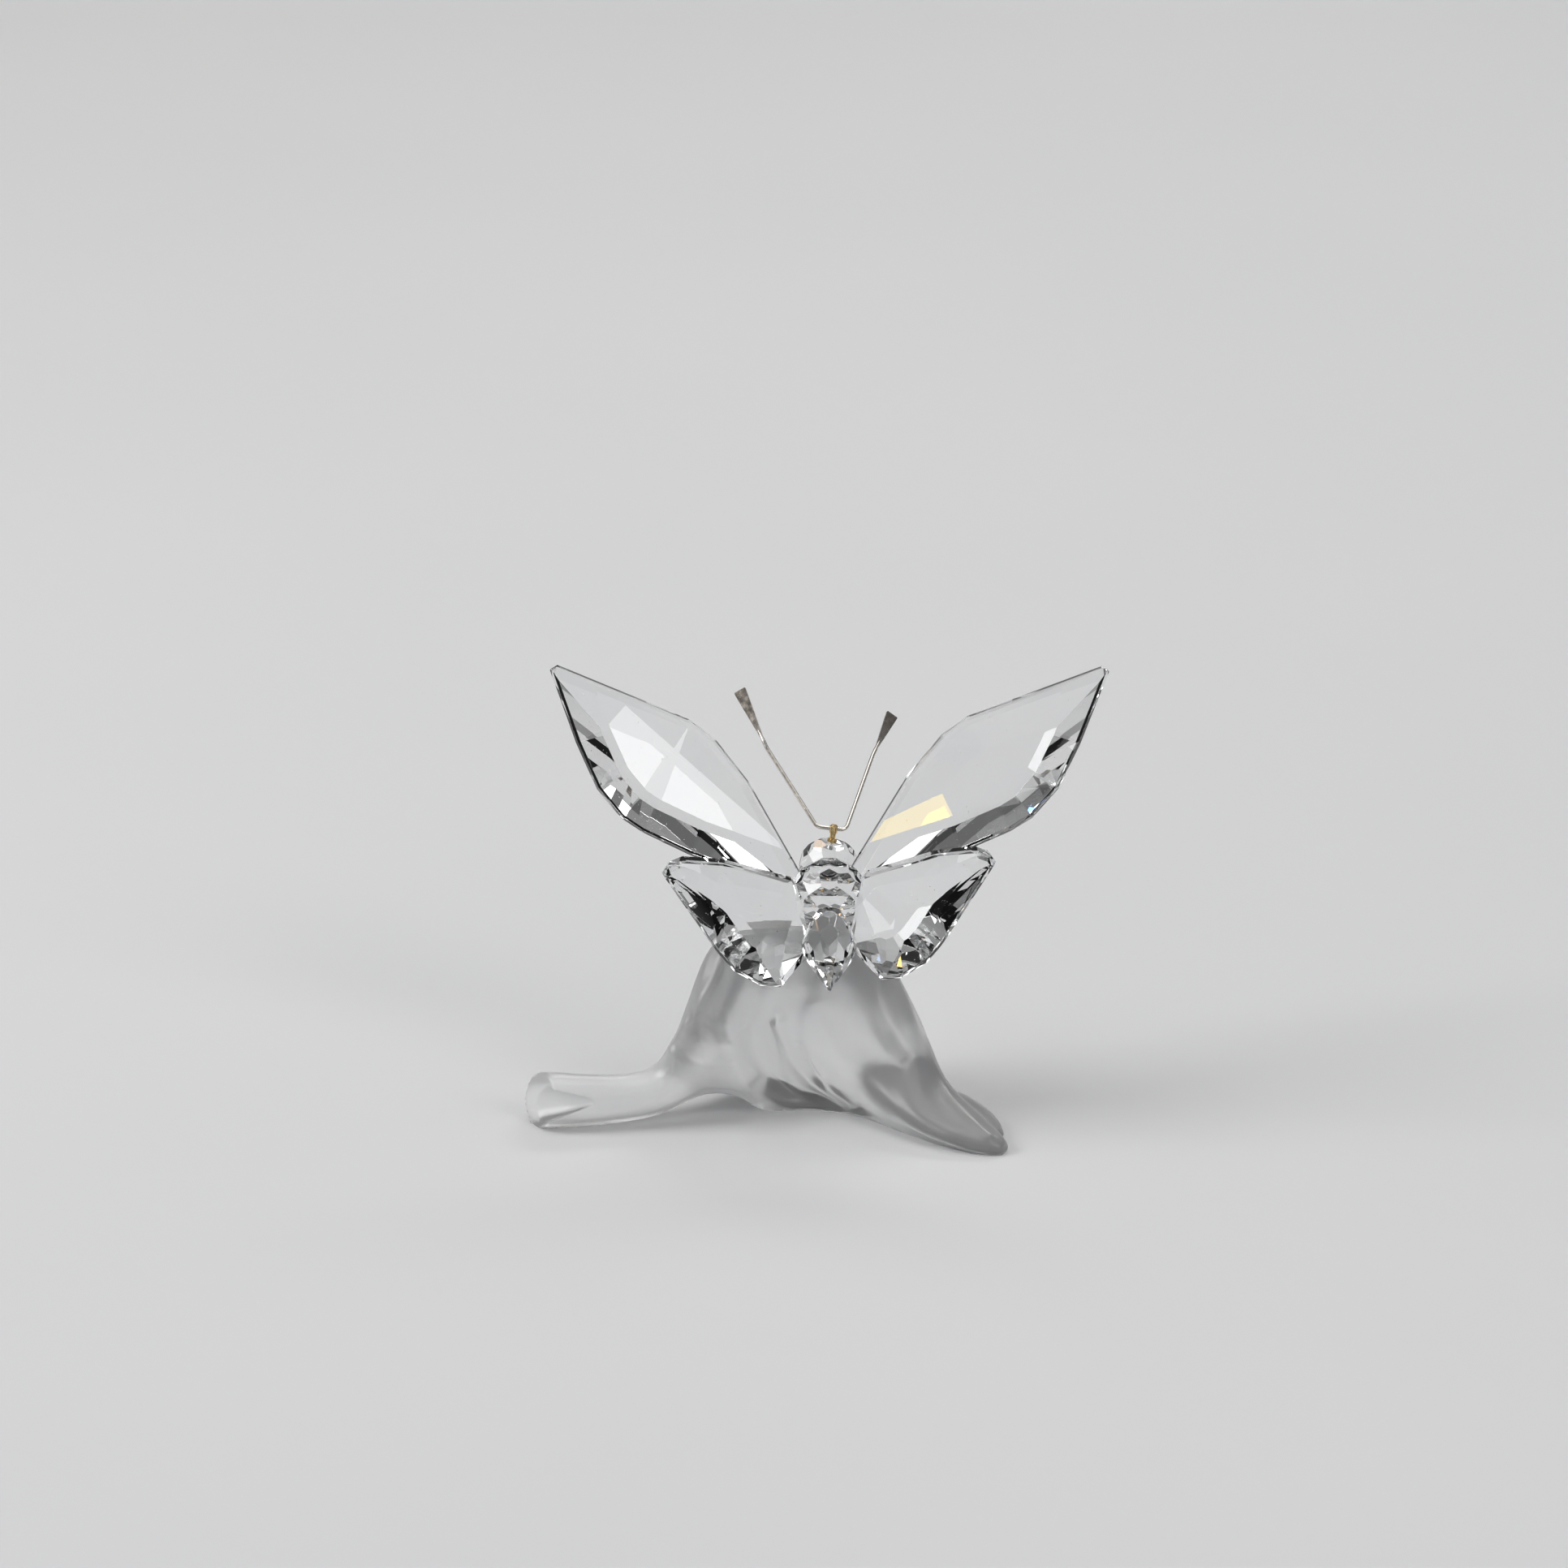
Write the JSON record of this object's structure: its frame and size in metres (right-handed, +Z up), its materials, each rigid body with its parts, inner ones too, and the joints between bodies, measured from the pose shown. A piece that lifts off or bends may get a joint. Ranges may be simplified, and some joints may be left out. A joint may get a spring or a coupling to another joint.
{
  "type": "butterfly ornament",
  "caption": "Cut-crystal butterfly with spread wings and wire antennae, bonded on top of a satin-frosted glass leaf that stands on its own.",
  "frame": {"origin": "on the ground rest face under the leaf stand, just below the butterfly's thorax", "axes": "+Z up from the rest face, +Y the way the butterfly's head points, +X to the right as seen from behind it, along the longest extent"},
  "size_m": [0.0716, 0.0436, 0.0524],
  "materials": {
    "clear_crystal": "polished facets",
    "frosted_glass": "satin",
    "bond_adhesive": "clear cured",
    "wire_steel": "bright plated",
    "gilt_metal": "polished"
  },
  "bodies": {
    "root": {"leaf_stand": "frosted_glass", "thorax": "clear_crystal", "head": "clear_crystal", "abdomen": "clear_crystal", "forewing_left": "clear_crystal", "forewing_right": "clear_crystal", "hindwing_left": "clear_crystal", "hindwing_right": "clear_crystal", "wing_bonds": "bond_adhesive", "body_bonds": "bond_adhesive", "stand_bond": "bond_adhesive", "antenna_post": "gilt_metal", "antenna_left": "wire_steel", "antenna_right": "wire_steel"}
  },
  "joints": []
}
